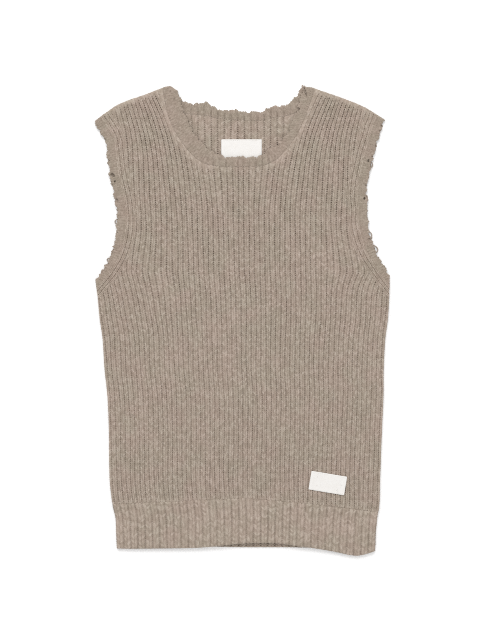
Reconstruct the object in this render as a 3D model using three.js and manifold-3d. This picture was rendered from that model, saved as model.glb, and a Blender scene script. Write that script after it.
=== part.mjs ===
// A knitted sweater vest, laid flat on its back, in millimetres with +Z up.
//
// Two panels of thick ribbed wool lie on each other, each with a band of coarser rib at the
// hem. A narrow plain band goes round the neck and round each armhole, and its edge is worn
// and ragged. A bare woven label lies inside the back of the neck, another on the front.
// The back rests on z = 0, the neck points to +Y, and +X is the wearer's left.

import * as THREE from 'three';
import Module from 'manifold-3d';
import { mergeVertices } from 'three/addons/utils/BufferGeometryUtils.js';

const wasm = await Module();
wasm.setup();

// Cloth. A valley and a crest are the wall's thickness between two ribs and on top of one.
const seamGap = 0.3;
const backCloth = { valley: 1.9, crest: 2.8, ribPitch: 9, ribsToSide: 24 };
const frontCloth = { valley: 1.8, crest: 3.4, atEdge: 1.3, atShoulder: 2.1 };
const hemCloth = { valley: 1.9, crest: 3.6, atEdge: 2.0, ribs: 36 };
const labelCloth = { thick: 0.7, lift: 0.3 };

// The ribs of the front are counted from the middle one, ribsToSide on each side of it. They
// are this far apart across the chest and at the shoulders. Above the height fan.from they
// fan out on each side of the neck, along a parabola.
const ribsToSide = 29;
const chestRibs = { y: 162, pitch: 6.98 };
const shoulderRibs = { y: 262, pitch: 6.62 };
const fan = { from: 140, slope: 0.03, curve: 0.0017, widestFrom: 6 };

// How far the front's inside lies above the seam level: puff in the middle of the body, and
// more at the neck's front edge and at the hem, where it lifts off the back.
const seamLevel = backCloth.crest + seamGap;
const puff = 1.2;
const rises = [
  { name: 'neck edge', x: 0, y: 214, halfWide: 95, halfLong: 55, high: 0.7 },
  { name: 'lifted hem', x: 28, y: -312, halfWide: 120, halfLong: 80, high: 1.7 },
  { name: 'soft fold by the wearer\'s right', x: -118, y: -60, halfWide: 22, halfLong: 130, high: 0.6 },
  { name: 'soft fold by the wearer\'s left', x: 120, y: -30, halfWide: 26, halfLong: 150, high: 0.6 },
  { name: 'soft fold up the middle', x: 12, y: 60, halfWide: 30, halfLong: 120, high: 0.5 },
];

// The side edges, from below the hem to the underarms. Left is at -X.
const sideRows = [
  { y: -340, left: -167, right: 180 },
  { y: -318, left: -168, right: 181.5 },
  { y: -292, left: -169, right: 183 },
  { y: -270, left: -170, right: 184.6 },
  { y: -252, left: -174, right: 187.6 },
  { y: -216, left: -178, right: 188.6 },
  { y: -150, left: -179, right: 191.1 },
  { y: -105, left: -181, right: 193.1 },
  { y: -67, left: -185, right: 193.4 },
  { y: -27, left: -187.5, right: 195.6 },
  { y: 0, left: -191.5, right: 199.1 },
  { y: 32, left: -194.5, right: 201 },
  { y: 64, left: -199, right: 201.5 },
];

// The worn outer edge of the armhole bands. The first and last rows run on past the
// underarm and the shoulder, which cut the bands off there.
const armholeRows = [
  { y: 44, left: -206, right: 214.1 },
  { y: 55, left: -197, right: 205.6 },
  { y: 61, left: -192, right: 201.1 },
  { y: 68, left: -187, right: 196.6 },
  { y: 78, left: -181.3, right: 190.6 },
  { y: 90, left: -176, right: 186.1 },
  { y: 98, left: -174, right: 183.6 },
  { y: 106, left: -171.8, right: 178.1 },
  { y: 128, left: -169, right: 172.9 },
  { y: 148, left: -169.5, right: 172.6 },
  { y: 167, left: -172.5, right: 171.1 },
  { y: 186, left: -176.8, right: 172.6 },
  { y: 205, left: -180, right: 176.6 },
  { y: 223, left: -182, right: 180.6 },
  { y: 241, left: -184.5, right: 186.1 },
  { y: 255, left: -192.5, right: 189.8 },
  { y: 268, left: -201, right: 194.6 },
  { y: 292, left: -214, right: 203.1 },
];

// The shoulder line, by its distance out from the middle. Inside the first rows the neck is
// open, and past 195 the line only cuts the armhole bands.
const shoulderRows = [
  { out: 75, left: 332, right: 332 },
  { out: 79, left: 332, right: 308 },
  { out: 83, left: 308, right: 320 },
  { out: 88, left: 310.5, right: 314.5 },
  { out: 96, left: 316, right: 314 },
  { out: 104, left: 314.5, right: 311 },
  { out: 120, left: 308, right: 305.5 },
  { out: 136, left: 302, right: 300 },
  { out: 152, left: 297, right: 294 },
  { out: 169, left: 289.5, right: 286.5 },
  { out: 185, left: 278.5, right: 276.5 },
  { out: 200, left: 267, right: 267 },
  { out: 240, left: 238, right: 240 },
];

// The neck band. Each row has a point on the band's worn edge, and the point across from it
// on the seam. The first and last rows run on past the shoulder line.
const neckFrontRows = [
  { edgeX: -87, edgeY: 326, seamX: -107, seamY: 322 },
  { edgeX: -85, edgeY: 308, seamX: -104.5, seamY: 304 },
  { edgeX: -80, edgeY: 289, seamX: -99, seamY: 278 },
  { edgeX: -69, edgeY: 263, seamX: -88, seamY: 252 },
  { edgeX: -57, edgeY: 243, seamX: -73, seamY: 230.5 },
  { edgeX: -42, edgeY: 229.5, seamX: -54, seamY: 213 },
  { edgeX: -23, edgeY: 222.5, seamX: -28, seamY: 207 },
  { edgeX: 0, edgeY: 219, seamX: 0, seamY: 206.5 },
  { edgeX: 22, edgeY: 222, seamX: 26, seamY: 207.5 },
  { edgeX: 36, edgeY: 230, seamX: 46, seamY: 215 },
  { edgeX: 50, edgeY: 238.5, seamX: 61, seamY: 230 },
  { edgeX: 61, edgeY: 249.5, seamX: 75, seamY: 249 },
  { edgeX: 70, edgeY: 270, seamX: 86, seamY: 272 },
  { edgeX: 78, edgeY: 291.5, seamX: 93, seamY: 292 },
  { edgeX: 84, edgeY: 310.5, seamX: 98, seamY: 306 },
  { edgeX: 86, edgeY: 328, seamX: 102, seamY: 324 },
];
const neckBackRows = [
  { edgeX: -91, edgeY: 326, seamX: -107, seamY: 322 },
  { edgeX: -88, edgeY: 311, seamX: -104.5, seamY: 304 },
  { edgeX: -80, edgeY: 297, seamX: -93, seamY: 286 },
  { edgeX: -69, edgeY: 292.5, seamX: -75, seamY: 279 },
  { edgeX: -47, edgeY: 294, seamX: -50, seamY: 276.5 },
  { edgeX: -31, edgeY: 285, seamX: -31, seamY: 272.5 },
  { edgeX: -7, edgeY: 283.5, seamX: -7, seamY: 270.5 },
  { edgeX: 25, edgeY: 281, seamX: 24, seamY: 269.5 },
  { edgeX: 38, edgeY: 287.5, seamX: 42, seamY: 273 },
  { edgeX: 58, edgeY: 290, seamX: 62, seamY: 276 },
  { edgeX: 70, edgeY: 298, seamX: 79, seamY: 284 },
  { edgeX: 79, edgeY: 307, seamX: 98, seamY: 306 },
  { edgeX: 81, edgeY: 328, seamX: 102, seamY: 324 },
];

// The hem bands, from the seam above them to their lower edges. The front's edge is drawn up
// in the middle, so that the back's shows below it.
const hemRows = [
  { x: -200, top: -252, front: -306.9, back: -305.9 },
  { x: -170, top: -251, front: -311.4, back: -310.4 },
  { x: -110, top: -248.5, front: -311.4, back: -309.9 },
  { x: -60, top: -246, front: -310.4, back: -309.4 },
  { x: -30, top: -244.5, front: -307.9, back: -309.4 },
  { x: 4, top: -243, front: -304.4, back: -309.9 },
  { x: 52, top: -247, front: -304.4, back: -309.9 },
  { x: 77, top: -249.5, front: -308.4, back: -310.4 },
  { x: 95, top: -251, front: -310.4, back: -310.9 },
  { x: 125, top: -254.5, front: -315.4, back: -313.9 },
  { x: 152, top: -257.5, front: -320.9, back: -317.9 },
  { x: 168, top: -260, front: -319.4, back: -317.4 },
  { x: 200, top: -264, front: -308.9, back: -307.9 },
];

// Across a plain band: share of the way from the worn edge to the seam, and the thickness.
const bandColumns = [
  { share: 0, thick: 1.0 },
  { share: 0.25, thick: 2.2 },
  { share: 0.7, thick: 2.4 },
  { share: 1, thick: 1.5 },
];
const backBandThinner = 0.2;
const armBandWidth = 11.8;
const bandFold = { wide: 3, from: 0.6, over: 0.8 };

// The armhole band and the two ribs that run beside it narrow towards the underarm, between
// these heights.
const borderNarrowing = { from: 52, to: 115, least: 0.55 };
const borderRibs = 2;
const borderRibPitch = 7;
const borderFirstValley = 1.8;
const borderOverlap = 0.5;

// The other ribs lean out towards the underarm before they end at that border.
const underarmLean = { from: -12, to: 62, backTo: 130, firstRib: 17, lastRib: 24, out: 11 };

// Rips over 4 mm that go right through the bands, and their long direction from +X.
const rips = [
  { x: -174, y: 195, long: 7, wide: 4.2, degrees: -40 },
  { x: -168.5, y: 160.5, long: 5.6, wide: 4.2, degrees: -75 },
  { x: 77.5, y: 284.5, long: 5, wide: 4.4, degrees: 20 },
];

// Labels: middle, length, width and turn.
const frontLabelPlace = { x: 117, y: -219.5, long: 51, wide: 26, degrees: -9.8 };
const neckLabelPlace = { x: 0.7, y: 230, long: 55, wide: 27, degrees: 0 };

const woolColour = '#a5978b';
const bandColour = '#aa9c8e';
const labelColour = '#f3f1ec';

// Levels well below and above the vest, between which the cutting prisms stand, and places
// well outside its plan.
const farBelow = -4;
const farAbove = 16;
const farOut = 260;
const farUp = 345;
const farDown = -350;

// How finely the curved edges are drawn.
const sideSteps = 44;
const armholeSteps = 34;
const neckSteps = 48;
const hemSteps = 48;

// Reads a column of a table at a place between its rows.
function lookUp(rows, by, column, at) {
  const next = rows.findIndex((row) => row[by] > at);
  if (next === 0) return rows[0][column];
  if (next < 0) return rows[rows.length - 1][column];
  const before = rows[next - 1];
  const share = (at - before[by]) / (rows[next][by] - before[by]);
  return before[column] + share * (rows[next][column] - before[column]);
}

const smooth = (value, from, to) => THREE.MathUtils.smoothstep(value, from, to);
const sideSign = (side) => (side === 'left' ? -1 : 1);
const underarm = sideRows[sideRows.length - 1].y;

function edgeAt(side, y) {
  return lookUp(y < underarm ? sideRows : armholeRows, 'y', side, y);
}

function shoulderAt(x) {
  const out = Math.max(Math.abs(x), 96);
  return lookUp(shoulderRows, 'out', x < 0 ? 'left' : 'right', out);
}

// The level of the front's inside. It starts from the seam level at every edge, and each
// rise is a smooth mound on it.
function insideLevel(x, y) {
  const left = edgeAt('left', y);
  const right = edgeAt('right', y);
  const across = THREE.MathUtils.clamp((2 * (x - left)) / (right - left) - 1, -1, 1);
  const inFromEdge = (1 - Math.abs(across) ** 3) * smooth(shoulderAt(x) - y, 0, 60);
  let level = seamLevel + puff * inFromEdge;
  for (const rise of rises) {
    const reach = Math.hypot((x - rise.x) / rise.halfWide, (y - rise.y) / rise.halfLong);
    level += rise.high * inFromEdge * (1 - smooth(reach, 0, 1));
  }
  return level;
}

// Turns a three.js geometry into a solid that can be joined and cut.
function solidOf(geometry) {
  const bare = geometry.clone();
  bare.deleteAttribute('normal');
  bare.deleteAttribute('uv');
  const merged = mergeVertices(bare, 1e-4);
  return new wasm.Manifold(new wasm.Mesh({
    numProp: 3,
    vertProperties: new Float32Array(merged.attributes.position.array),
    triVerts: new Uint32Array(merged.index.array),
  }));
}

// A closed block over a grid of points, whose x, y, low and high each point gives.
function block(grid) {
  const [first, beside, above] = [grid[0][0], grid[0][1], grid[1][0]];
  const turn = (beside.x - first.x) * (above.y - first.y) - (beside.y - first.y) * (above.x - first.x);
  const rows = turn > 0 ? grid : grid.map((row) => [...row].reverse());
  const columns = rows[0].length;
  const count = rows.length * columns;
  const positions = [];
  for (const level of ['high', 'low']) {
    for (const point of rows.flat()) positions.push(point.x, point.y, point[level]);
  }
  const faces = [];
  const quad = (a, b, c, d) => faces.push(a, b, c, a, c, d);
  const wall = (a, b) => quad(b, a, a + count, b + count);
  const last = rows.length - 1;
  for (let row = 0; row < last; row++) {
    for (let column = 0; column < columns - 1; column++) {
      const here = row * columns + column;
      const next = here + columns;
      quad(here, here + 1, next + 1, next);
      quad(here + count, next + count, next + 1 + count, here + 1 + count);
    }
    wall((row + 1) * columns, row * columns);
    wall((row + 1) * columns - 1, (row + 2) * columns - 1);
  }
  for (let column = 0; column < columns - 1; column++) {
    wall(column, column + 1);
    wall(last * columns + column + 1, last * columns + column);
  }
  const geometry = new THREE.BufferGeometry();
  geometry.setAttribute('position', new THREE.Float32BufferAttribute(positions, 3));
  geometry.setIndex(faces);
  return solidOf(geometry);
}

// An upright prism on a plan outline.
function prism(points, low = farBelow - 1, high = farAbove) {
  const shape = new THREE.Shape(points.map(({ x, y }) => new THREE.Vector2(x, y)));
  const geometry = new THREE.ExtrudeGeometry(shape, { depth: high - low, bevelEnabled: false });
  return solidOf(geometry.translate(0, 0, low));
}

// Points along a smooth curve through the given ones, with its direction over a short span.
function smoothLine(points, steps) {
  const curve = new THREE.SplineCurve(points.map(({ x, y }) => new THREE.Vector2(x, y)));
  const span = 1 / 20;
  return Array.from({ length: steps + 1 }, (_, step) => {
    const place = curve.getPoint(step / steps);
    const behind = curve.getPoint(Math.max(0, step / steps - span));
    const ahead = curve.getPoint(Math.min(1, step / steps + span));
    return { x: place.x, y: place.y, along: ahead.sub(behind).normalize() };
  });
}

// The vest's plan without its neck and armholes, drawn in by an inset. Below the underarm it
// has the side edges, and above it reaches out past the armholes.
function plan(inset = 0) {
  const reach = shoulderRows[shoulderRows.length - 1].out;
  const half = (side) => {
    const sign = sideSign(side);
    const sideLine = smoothLine(sideRows.map((row) => ({ x: row[side], y: row.y })), sideSteps);
    return [
      ...sideLine.map(({ x, y }) => ({ x: x - sign * inset, y })),
      { x: sign * reach, y: underarm + 2 },
      ...shoulderRows.map((row) => ({ x: sign * row.out, y: row[side] - inset })).reverse(),
    ];
  };
  return [...half('left'), ...half('right').reverse()];
}

const planPrism = prism(plan());
const rimPrism = planPrism.subtract(prism(plan(bandFold.wide), farBelow - 2, farAbove + 1));
const groundSize = { wide: 600, long: 800, deep: 40 };
const ground = solidOf(new THREE.BoxGeometry(groundSize.wide, groundSize.long, groundSize.deep)
  .translate(0, 0, -groundSize.deep / 2));

// The space under the front's inside.
const coreStep = 26;
const coreGrid = [];
for (let y = farDown; y <= farUp + coreStep; y += coreStep) {
  const row = [];
  for (let x = -farOut; x <= farOut; x += coreStep) {
    row.push({ x, y, low: 2 * farBelow, high: insideLevel(x, y) });
  }
  coreGrid.push(row);
}
const core = block(coreGrid);

// A small wave along a worn edge: two sines whose lengths don't match.
function wear(step, phase) {
  return 0.5 * Math.sin(1.9 * step + phase) + 0.4 * Math.sin(4.3 * step + 2 * phase);
}

// The armhole's outer edge, with the direction into the cloth and the share that the border
// keeps of its full width there.
function armholeLine(side) {
  const sign = sideSign(side);
  const line = smoothLine(armholeRows.map((row) => ({ x: row[side], y: row.y })), armholeSteps);
  return line.map(({ x, y, along }) => ({
    x,
    y,
    inX: -sign * along.y,
    inY: sign * along.x,
    keeps: THREE.MathUtils.lerp(
      borderNarrowing.least, 1, smooth(y, borderNarrowing.from, borderNarrowing.to)),
  }));
}

function insetPoint(point, distance) {
  return { x: point.x + point.inX * distance, y: point.y + point.inY * distance };
}

// Everything outside a line that runs beside the armhole, to be cut away.
function armholeCut(side, distanceOf) {
  const line = armholeLine(side).map((point) => insetPoint(point, distanceOf(point)));
  const far = farOut * sideSign(side);
  return prism([...line, { x: far, y: line[line.length - 1].y }, { x: far, y: line[0].y }]);
}

// Everything inside a neck seam, to be cut away.
function neckCut(rows) {
  const line = smoothLine(rows.map((row) => ({ x: row.seamX, y: row.seamY })), neckSteps);
  return prism([...line, { x: line[neckSteps].x, y: farUp }, { x: line[0].x, y: farUp }]);
}

// Cuts a panel at the hem's seam, the neck and both armholes.
function cutToPanel(solid, neckRows, distanceOf) {
  const hemSeam = hemRows.map((row) => ({ x: row.x, y: row.top + seamGap }));
  const belowSeam = prism([...hemSeam, { x: farOut, y: farDown }, { x: -farOut, y: farDown }]);
  return solid
    .intersect(planPrism)
    .subtract(belowSeam)
    .subtract(neckCut(neckRows))
    .subtract(armholeCut('left', distanceOf))
    .subtract(armholeCut('right', distanceOf));
}

// Where rib number rib runs on the front, at the height y. The ribs spread with the body up
// to the underarm, lean out towards the armhole's border and fan out above the chest.
function ribX(rib, y) {
  const body = Math.min(y, underarm);
  const left = lookUp(sideRows, 'y', 'left', body);
  const right = lookUp(sideRows, 'y', 'right', body);
  const bodyPitch = (right - left) / (2 * ribsToSide);
  const upperPitch = THREE.MathUtils.lerp(
    chestRibs.pitch, shoulderRibs.pitch, smooth(y, chestRibs.y, shoulderRibs.y));
  const pitch = THREE.MathUtils.lerp(bodyPitch, upperPitch, smooth(y, underarm, chestRibs.y));
  const middle = ((left + right) / 2) * (1 - smooth(y, underarm, chestRibs.y));
  const number = Math.abs(rib);
  const above = Math.max(0, y - fan.from);
  const fanned = (fan.slope * above + fan.curve * above ** 2) * smooth(number, 0, fan.widestFrom);
  const { from, to, backTo, firstRib, lastRib, out } = underarmLean;
  const leaning = out * smooth(y, from, to) * (1 - smooth(y, to, backTo));
  return middle + rib * pitch + Math.sign(rib) * (fanned + leaning * smooth(number, firstRib, lastRib));
}

// The front panel. Its ribs stand on a grid with a column on each crest and in each valley.
// The rows cross the body straight, and the last ones follow the shoulder line, where the
// ribs fade into the linked edge.
function frontPanel() {
  const straightRows = [-275, -200, -120, -50, -15, 10, 35, 62, 92, 125, 155, 180, 202, 220];
  const shoulderSteps = [
    { share: 0.35, short: 0 }, { share: 0.7, short: 0 },
    { share: 1, short: 8 }, { share: 1, short: 3 }, { share: 1, short: -5 },
  ];
  const lastStraight = straightRows[straightRows.length - 1];
  const columns = Array.from({ length: 4 * ribsToSide + 3 }, (_, half) => half / 2 - ribsToSide - 0.5);
  const pointAt = (rib, y, faded) => {
    const x = ribX(rib, y);
    const number = Math.abs(rib);
    let thick = Number.isInteger(rib) ? frontCloth.crest : frontCloth.valley;
    if (faded) thick = frontCloth.atShoulder;
    if (number >= ribsToSide) thick = frontCloth.atEdge;
    return { x, y, low: farBelow, high: insideLevel(x, y) + thick };
  };
  const grid = straightRows.map((y) => columns.map((rib) => pointAt(rib, y, false)));
  for (const { share, short } of shoulderSteps) {
    grid.push(columns.map((rib) => {
      const top = shoulderAt(ribX(rib, shoulderRibs.y));
      const y = lastStraight + share * (top - lastStraight) - short;
      return pointAt(rib, y, share === 1 && short < 8);
    }));
  }
  const borderWidth = borderFirstValley + borderRibs * borderRibPitch;
  const innerEdge = ({ keeps }) => (armBandWidth + borderWidth) * keeps + seamGap - borderOverlap;
  let cloth = cutToPanel(block(grid), neckFrontRows, innerEdge);
  for (const side of ['left', 'right']) {
    const border = armholeLine(side).map((point) => {
      const row = [];
      for (let half = 0; half <= 2 * borderRibs; half++) {
        const inside = half === 0 ? 0 : borderFirstValley + (half * borderRibPitch) / 2;
        const place = insetPoint(point, (armBandWidth + inside) * point.keeps + seamGap);
        const thick = half % 2 ? frontCloth.crest : frontCloth.valley;
        row.push({ ...place, low: farBelow, high: insideLevel(place.x, place.y) + thick });
      }
      return row;
    });
    cloth = cloth.add(block(border).intersect(planPrism));
  }
  return cloth.subtract(core);
}

// The back panel rests flat, and its ribs stand on its inner face.
function backPanel() {
  const halfRibsToSide = 2 * backCloth.ribsToSide;
  const columns = Array.from({ length: 2 * halfRibsToSide + 1 }, (_, half) => half - halfRibsToSide);
  const grid = [farDown, farUp].map((y) => columns.map((half) => ({
    x: (half * backCloth.ribPitch) / 2,
    y,
    low: farBelow,
    high: half % 2 ? backCloth.valley : backCloth.crest,
  })));
  const seam = ({ keeps }) => armBandWidth * keeps + seamGap;
  return cutToPanel(block(grid), neckBackRows, seam).subtract(ground);
}

// A hem band, cut between its seam and its lower edge. Its ribs spread with its width.
function hemBand(edge, highOf) {
  const rows = [-330, -296, -262, -238];
  const columns = Array.from({ length: 2 * hemCloth.ribs + 3 }, (_, half) => half - 1);
  const grid = rows.map((y) => columns.map((half) => {
    const share = half / (2 * hemCloth.ribs);
    const x = THREE.MathUtils.lerp(edgeAt('left', y), edgeAt('right', y), share);
    return { x, y, low: farBelow, high: highOf(half, x, y) };
  }));
  const seamLine = hemRows.map((row) => ({ x: row.x, y: row.top }));
  const lowerLine = smoothLine(hemRows.map((row) => ({ x: row.x, y: row[edge] })), hemSteps);
  const between = prism([...seamLine, ...lowerLine.reverse()]);
  return block(grid).intersect(planPrism).intersect(between);
}

function frontHem() {
  const thick = (half) => {
    if (half <= 0 || half >= 2 * hemCloth.ribs) return hemCloth.atEdge;
    return half % 2 ? hemCloth.crest : hemCloth.valley;
  };
  return hemBand('front', (half, x, y) => insideLevel(x, y) + thick(half)).subtract(core);
}

function backHem() {
  const thick = (half) => (half % 2 ? backCloth.crest : backCloth.valley);
  return hemBand('back', thick).subtract(ground);
}

// A plain band's layer over its stations, each with a point on the edge and one on the seam.
function bandLayer(stations, low, highOf) {
  return block(stations.map(({ edge, seam }) => bandColumns.map(({ share, thick }) => {
    const x = THREE.MathUtils.lerp(edge.x, seam.x, share);
    const y = THREE.MathUtils.lerp(edge.y, seam.y, share);
    return { x, y, low, high: highOf(x, y, thick) };
  }))).intersect(planPrism);
}

// A whole band: a layer on the front and one on the back, with a gap between them, which turn
// into each other in a fold where the front and the back meet.
function band(frontStations, backStations) {
  const front = bandLayer(frontStations, farBelow, (x, y, thick) => insideLevel(x, y) + thick);
  const back = bandLayer(backStations, farBelow, (x, y, thick) => thick - backBandThinner);
  const foldTop = (x, y) => insideLevel(x, y) + bandFold.over;
  const fold = bandLayer(frontStations, bandFold.from, foldTop)
    .intersect(bandLayer(backStations, farBelow, foldTop))
    .intersect(rimPrism);
  return front.subtract(core).add(back.subtract(ground)).add(fold);
}

// A point at a distance from one point towards another.
function towards(from, to, distance) {
  const share = distance / Math.hypot(to.x - from.x, to.y - from.y);
  return { x: THREE.MathUtils.lerp(from.x, to.x, share), y: THREE.MathUtils.lerp(from.y, to.y, share) };
}

function neckStations(rows, phase) {
  const edges = smoothLine(rows.map((row) => ({ x: row.edgeX, y: row.edgeY })), neckSteps);
  const seams = smoothLine(rows.map((row) => ({ x: row.seamX, y: row.seamY })), neckSteps);
  return edges.map((edge, step) => ({
    edge: towards(edge, seams[step], wear(step, phase)),
    seam: towards(seams[step], edge, seamGap),
  }));
}

function armholeStations(side, phase) {
  return armholeLine(side).map((point, step) => ({
    edge: insetPoint(point, wear(step, phase)),
    seam: insetPoint(point, armBandWidth * point.keeps),
  }));
}

function rip({ x, y, long, wide, degrees }) {
  const outline = new THREE.EllipseCurve(x, y, long / 2, wide / 2, 0, 2 * Math.PI, false,
    THREE.MathUtils.degToRad(degrees));
  return prism(outline.getPoints(8).slice(1));
}

function withRips(solid) {
  return rips.reduce((cloth, place) => cloth.subtract(rip(place)), solid);
}

// A woven label lies on the cloth under it, along that cloth's own level.
function label({ x, y, long, wide, degrees }, underside) {
  const turn = THREE.MathUtils.degToRad(degrees);
  const grid = [-0.5, -0.17, 0.17, 0.5].map((up) => [-0.5, -0.25, 0, 0.25, 0.5].map((over) => {
    const place = new THREE.Vector2(over * long, up * wide).rotateAround(new THREE.Vector2(), turn);
    const low = underside(x + place.x, y + place.y) + labelCloth.lift;
    return { x: x + place.x, y: y + place.y, low, high: low + labelCloth.thick };
  }));
  return block(grid);
}

const vest = new THREE.Group();
vest.name = 'knitted_sweater_vest';

function addPiece(name, solid, color, roughness) {
  const { vertProperties, triVerts } = solid.getMesh();
  const geometry = new THREE.BufferGeometry();
  geometry.setAttribute('position', new THREE.BufferAttribute(vertProperties, 3));
  geometry.setIndex(new THREE.BufferAttribute(triVerts, 1));
  geometry.computeVertexNormals();
  const material = new THREE.MeshStandardMaterial({ color, roughness, metalness: 0 });
  const mesh = new THREE.Mesh(geometry, material);
  mesh.name = name;
  vest.add(mesh);
}

addPiece('front_panel', frontPanel(), woolColour, 0.95);
addPiece('back_panel', backPanel(), woolColour, 0.95);
addPiece('front_hem_rib', frontHem(), woolColour, 0.95);
addPiece('back_hem_rib', backHem(), woolColour, 0.95);
addPiece('neck_band', withRips(band(neckStations(neckFrontRows, 0.4), neckStations(neckBackRows, 1.3))),
  bandColour, 0.9);
addPiece('armhole_band_wearer_right',
  withRips(band(armholeStations('left', 0.2), armholeStations('left', 0.2))), bandColour, 0.9);
addPiece('armhole_band_wearer_left',
  withRips(band(armholeStations('right', 2.1), armholeStations('right', 2.1))), bandColour, 0.9);
addPiece('front_label',
  label(frontLabelPlace, (x, y) => insideLevel(x, y) + frontCloth.crest), labelColour, 0.6);
addPiece('neck_label', label(neckLabelPlace, () => backCloth.crest), labelColour, 0.6);

export default vest;
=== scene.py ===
# A knitted sweater vest, laid flat on its back. The sizes here are in millimetres, with +Y from
# the hem to the neck, +X to the wearer's left and +Z up, and a mesh is scaled to metres once.

import math
from functools import partial

import bpy
import numpy as np
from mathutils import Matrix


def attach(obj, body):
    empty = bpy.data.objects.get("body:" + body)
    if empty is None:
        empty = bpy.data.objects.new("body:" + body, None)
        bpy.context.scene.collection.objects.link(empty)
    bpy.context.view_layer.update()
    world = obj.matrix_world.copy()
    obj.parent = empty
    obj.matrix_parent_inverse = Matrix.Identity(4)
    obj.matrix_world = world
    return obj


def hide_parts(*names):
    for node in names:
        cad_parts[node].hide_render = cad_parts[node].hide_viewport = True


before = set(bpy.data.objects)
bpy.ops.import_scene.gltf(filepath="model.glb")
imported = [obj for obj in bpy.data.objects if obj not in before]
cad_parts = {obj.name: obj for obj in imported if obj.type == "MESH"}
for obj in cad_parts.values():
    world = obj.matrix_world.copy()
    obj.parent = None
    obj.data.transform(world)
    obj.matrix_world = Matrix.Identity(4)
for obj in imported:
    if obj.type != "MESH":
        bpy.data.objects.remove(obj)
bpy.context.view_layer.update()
scene = bpy.context.scene
MM = 0.001

# The back panel.
# Thick fisherman's rib in marled taupe wool, knitted as one flat panel. It lies on the surface,
# and inside the neck it shows its ribs, which are wider there than those on the front.


def table(names, *rows):
    """The columns of a table by their names."""
    return dict(zip(names.split(), np.array(rows, float).T))


def smooth(value, start, end):
    """0 before the start, 1 past the end, and a soft step between them."""
    share = np.clip((value - start) / (end - start), 0, 1)
    return share * share * (3 - 2 * share)


def curve(x, y, steps):
    """Points at even steps along the smooth curve through the given ones."""
    points = np.column_stack([x, y])
    points = np.vstack([points[:1], points, points[-1:]])
    at = np.linspace(0, len(points) - 3, steps + 1)
    span = np.minimum(at.astype(int), len(points) - 4)
    share = (at - span)[:, None]
    before, start, end, after = (points[span + i] for i in range(4))
    leave = (end - before) / 2
    arrive = (after - start) / 2
    bend = 3 * (end - start) - 2 * leave - arrive
    return start + leave * share + bend * share**2 + (2 * (start - end) + leave + arrive) * share**3


def beside(line, x, y, places=None):
    """How far points lie to the left of a line, or below 0 to its right.

    Where a value is given for each place of the line, it is found for the nearest place too.
    """
    start = line[:-1]
    span = np.diff(line, axis=0)
    length = np.hypot(*span.T)
    found = np.empty(x.size)
    value = np.empty(x.size)
    at_once = 20000
    for some in np.array_split(np.arange(x.size), x.size // at_once + 1):
        dx = x.ravel()[some, None] - start[:, 0]
        dy = y.ravel()[some, None] - start[:, 1]
        along = np.clip((dx * span[:, 0] + dy * span[:, 1]) / length**2, 0, 1)
        away = np.hypot(dx - along * span[:, 0], dy - along * span[:, 1])
        side = (span[:, 0] * dy - span[:, 1] * dx) / length
        near = (away - 1e-6 * abs(side)).argmin(1)
        row = np.arange(some.size)
        found[some] = away[row, near] * np.sign(side[row, near])
        value[some] = near + along[row, near]
    found = found.reshape(x.shape)
    if places is None:
        return found
    return found, np.interp(value, np.arange(len(line)), places).reshape(x.shape)


# The vest's outline: its sides up to the underarms, the shoulder line by its distance out from
# the middle, and the worn edge of the armholes.
sides = table(
    "y left right",
    (-340, -167, 180), (-318, -168, 181.5), (-292, -169, 183), (-270, -170, 184.6),
    (-252, -174, 187.6), (-216, -178, 188.6), (-150, -179, 191.1), (-105, -181, 193.1),
    (-67, -185, 193.4), (-27, -187.5, 195.6), (0, -191.5, 199.1), (32, -194.5, 201),
    (64, -199, 201.5),
)
armholes = table(
    "y left right",
    (28, -220, 227), (44, -206, 214.1), (55, -197, 205.6), (61, -192, 201.1), (68, -187, 196.6),
    (78, -181.3, 190.6), (90, -176, 184.2), (98, -174, 181), (106, -171.8, 178.1),
    (128, -169, 172.9), (148, -169.5, 172.6), (167, -172.5, 171.1), (186, -176.8, 172.6),
    (205, -180, 176.6), (223, -182, 180.6), (241, -184.5, 186.1), (255, -192.5, 189.8),
    (268, -201, 194.6), (292, -214, 203.1),
)
shoulders = table(
    "out left right",
    (75, 332, 332), (79, 332, 308), (83, 308, 320), (88, 310.5, 314.5), (96, 316, 314),
    (104, 314.5, 311), (120, 308, 305.5), (136, 302, 300), (152, 297, 294), (169, 289.5, 286.5),
    (185, 278.5, 276.5), (200, 267, 267), (240, 238, 240),
)
underarm = sides["y"][-1]
inner_shoulder = 96
# Farther in than a distance counts.
far = 99
side_lines = {side: curve(sides[side], sides["y"], 120) for side in ("left", "right")}
shoulder_lines = {
    "left": np.column_stack([-shoulders["out"], shoulders["left"]])[::-1],
    "right": np.column_stack([shoulders["out"], shoulders["right"]]),
}
# The whole outer edges, by their height: a side, and the armhole's worn edge above it.
edge_heights = np.linspace(-340, 340, 1361)
edges = {
    side: np.where(
        edge_heights < underarm,
        np.interp(edge_heights, side_lines[side][:, 1], side_lines[side][:, 0]),
        np.interp(edge_heights, armholes["y"], armholes[side]),
    )
    for side in ("left", "right")
}


def side_x(side, y):
    """Where the side edge is, at a height."""
    return np.interp(y, side_lines[side][:, 1], side_lines[side][:, 0])


def shoulder_y(x):
    """How high the shoulder line is, straight on past its inner end."""
    out = np.maximum(abs(x), inner_shoulder)
    left = np.interp(out, shoulders["out"], shoulders["left"])
    return np.where(x < 0, left, np.interp(out, shoulders["out"], shoulders["right"]))


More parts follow.
